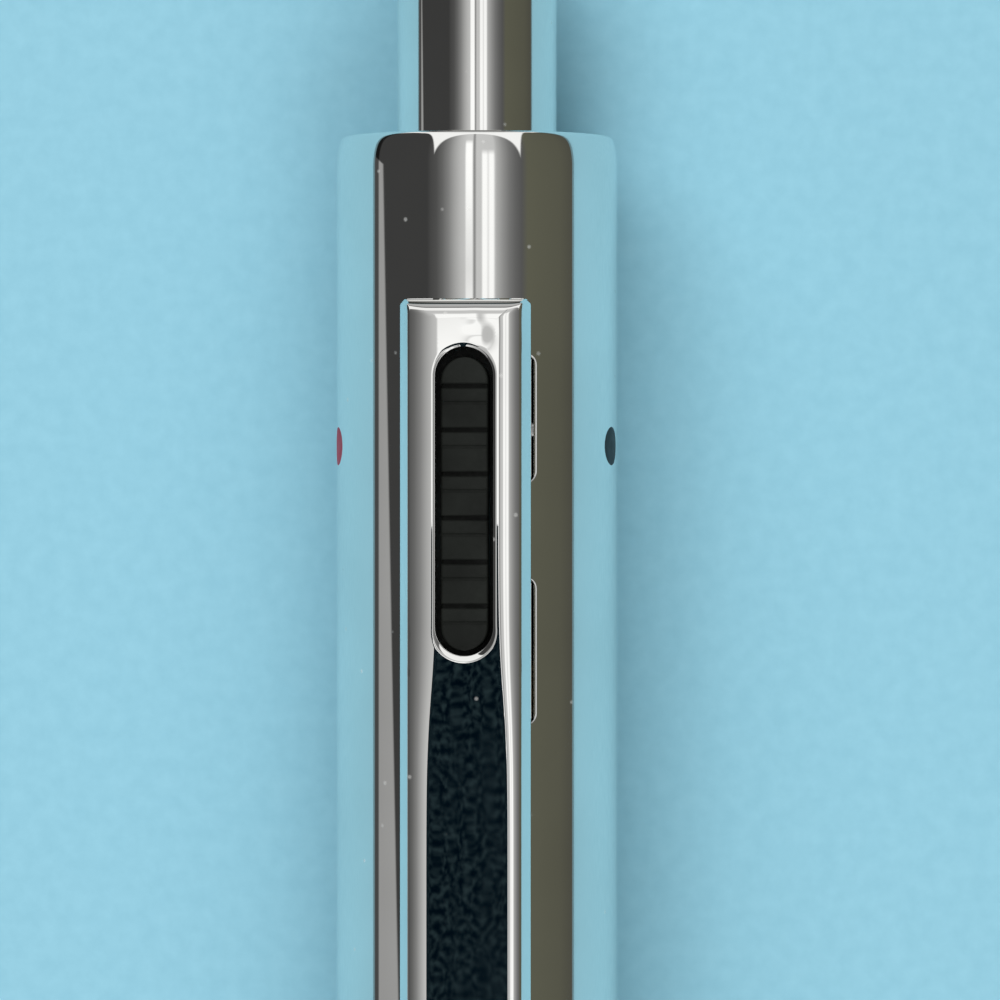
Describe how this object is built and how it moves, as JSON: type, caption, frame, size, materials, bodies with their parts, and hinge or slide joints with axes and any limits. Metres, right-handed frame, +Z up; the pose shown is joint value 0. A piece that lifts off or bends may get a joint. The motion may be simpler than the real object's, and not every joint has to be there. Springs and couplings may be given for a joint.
{
  "type": "multifunction pen",
  "caption": "Polished round pen with a push knob, a sprung clip, and a ribbed release button in the clip; gravity picks a ball refill or the pencil.",
  "frame": {"origin": "middle of the pen's length, under its axis, on the surface that it lies on", "axes": "+Y along the pen from the nose to the push knob, +Z up through the clip, +X to the right of the clip seen from above with the knob away"},
  "size_m": [0.011, 0.1414, 0.0126],
  "materials": {
    "chrome": "mirror polished plating",
    "black_plastic": "moulded, satin",
    "red_enamel": "filled enamel dot",
    "black_enamel": "filled enamel dot",
    "brass": "turned",
    "steel": "drawn wire and strip",
    "core_plastic": "moulded acetal",
    "grey_plastic": "moulded acetal",
    "red_plastic": "moulded acetal",
    "refill_tube": "drawn tube",
    "graphite": "polymer lead"
  },
  "bodies": {
    "barrel": {"upper_barrel": "chrome", "lower_barrel": "chrome", "nose_cone": "chrome", "joint_ring": "chrome", "thread_sleeve": "brass", "knob_spring": "steel", "spring_seat": "brass", "mechanism_core": "core_plastic", "release_leaf": "steel", "clip_pin": "steel", "clip_spring": "steel", "mark_red": "red_enamel", "mark_black": "black_enamel", "pencil_spring": "steel", "red_spring": "steel", "black_spring": "steel"},
    "knob": {"push_knob": "chrome", "knob_plunger": "grey_plastic", "pivot_washer": "steel"},
    "selector": {"selector_weight": "brass"},
    "clip": {"clip": "chrome"},
    "button": {"release_button": "black_plastic"},
    "pencil": {"pencil_slider": "core_plastic", "pencil_tube": "steel", "pencil_cone": "brass", "pencil_sleeve": "steel", "pencil_lead": "graphite"},
    "red": {"red_slider": "red_plastic", "red_refill": "refill_tube", "red_point": "steel"},
    "black": {"black_slider": "grey_plastic", "black_refill": "refill_tube", "black_point": "steel"}
  },
  "joints": [
    {"name": "knob_press", "type": "slide", "parent": "barrel", "child": "knob", "axis": [0, -1, 0], "range_m": [0, 0.0065], "stiffness_N_per_m": 60, "deforming": ["knob_spring", "pencil_spring", "release_leaf"]},
    {"name": "selector_swing", "type": "hinge", "parent": "knob", "child": "selector", "pos_m": [0, 0.03935, 0.0055], "axis": [0, 1, 0], "continuous": true},
    {"name": "pencil_slide", "type": "slide", "parent": "barrel", "child": "pencil", "axis": [0, -0.9999, -0.016], "range_m": [0, 0.0065]},
    {"name": "red_slide", "type": "slide", "parent": "barrel", "child": "red", "axis": [-0.0139, 0.9999, -0.008], "range_m": [-0.0065, 0], "stiffness_N_per_m": 40, "deforming": ["red_spring"]},
    {"name": "black_slide", "type": "slide", "parent": "barrel", "child": "black", "axis": [0.0139, 0.9999, -0.008], "range_m": [-0.0065, 0], "stiffness_N_per_m": 40, "deforming": ["black_spring"]},
    {"name": "clip_lift", "type": "hinge", "parent": "barrel", "child": "clip", "pos_m": [0, 0.04975, 0.00955], "axis": [-1, 0, 0], "range_deg": [0, 4], "stiffness_Nm_per_rad": 0.05, "deforming": ["clip_spring"]},
    {"name": "button_press", "type": "slide", "parent": "barrel", "child": "button", "axis": [0, 0, -1], "range_m": [0, 0.0006], "stiffness_N_per_m": 100, "deforming": ["release_leaf"]}
  ],
  "couplings": [
    {"joint": "pencil_slide", "follows": "knob_press", "ratio": 1}
  ]
}
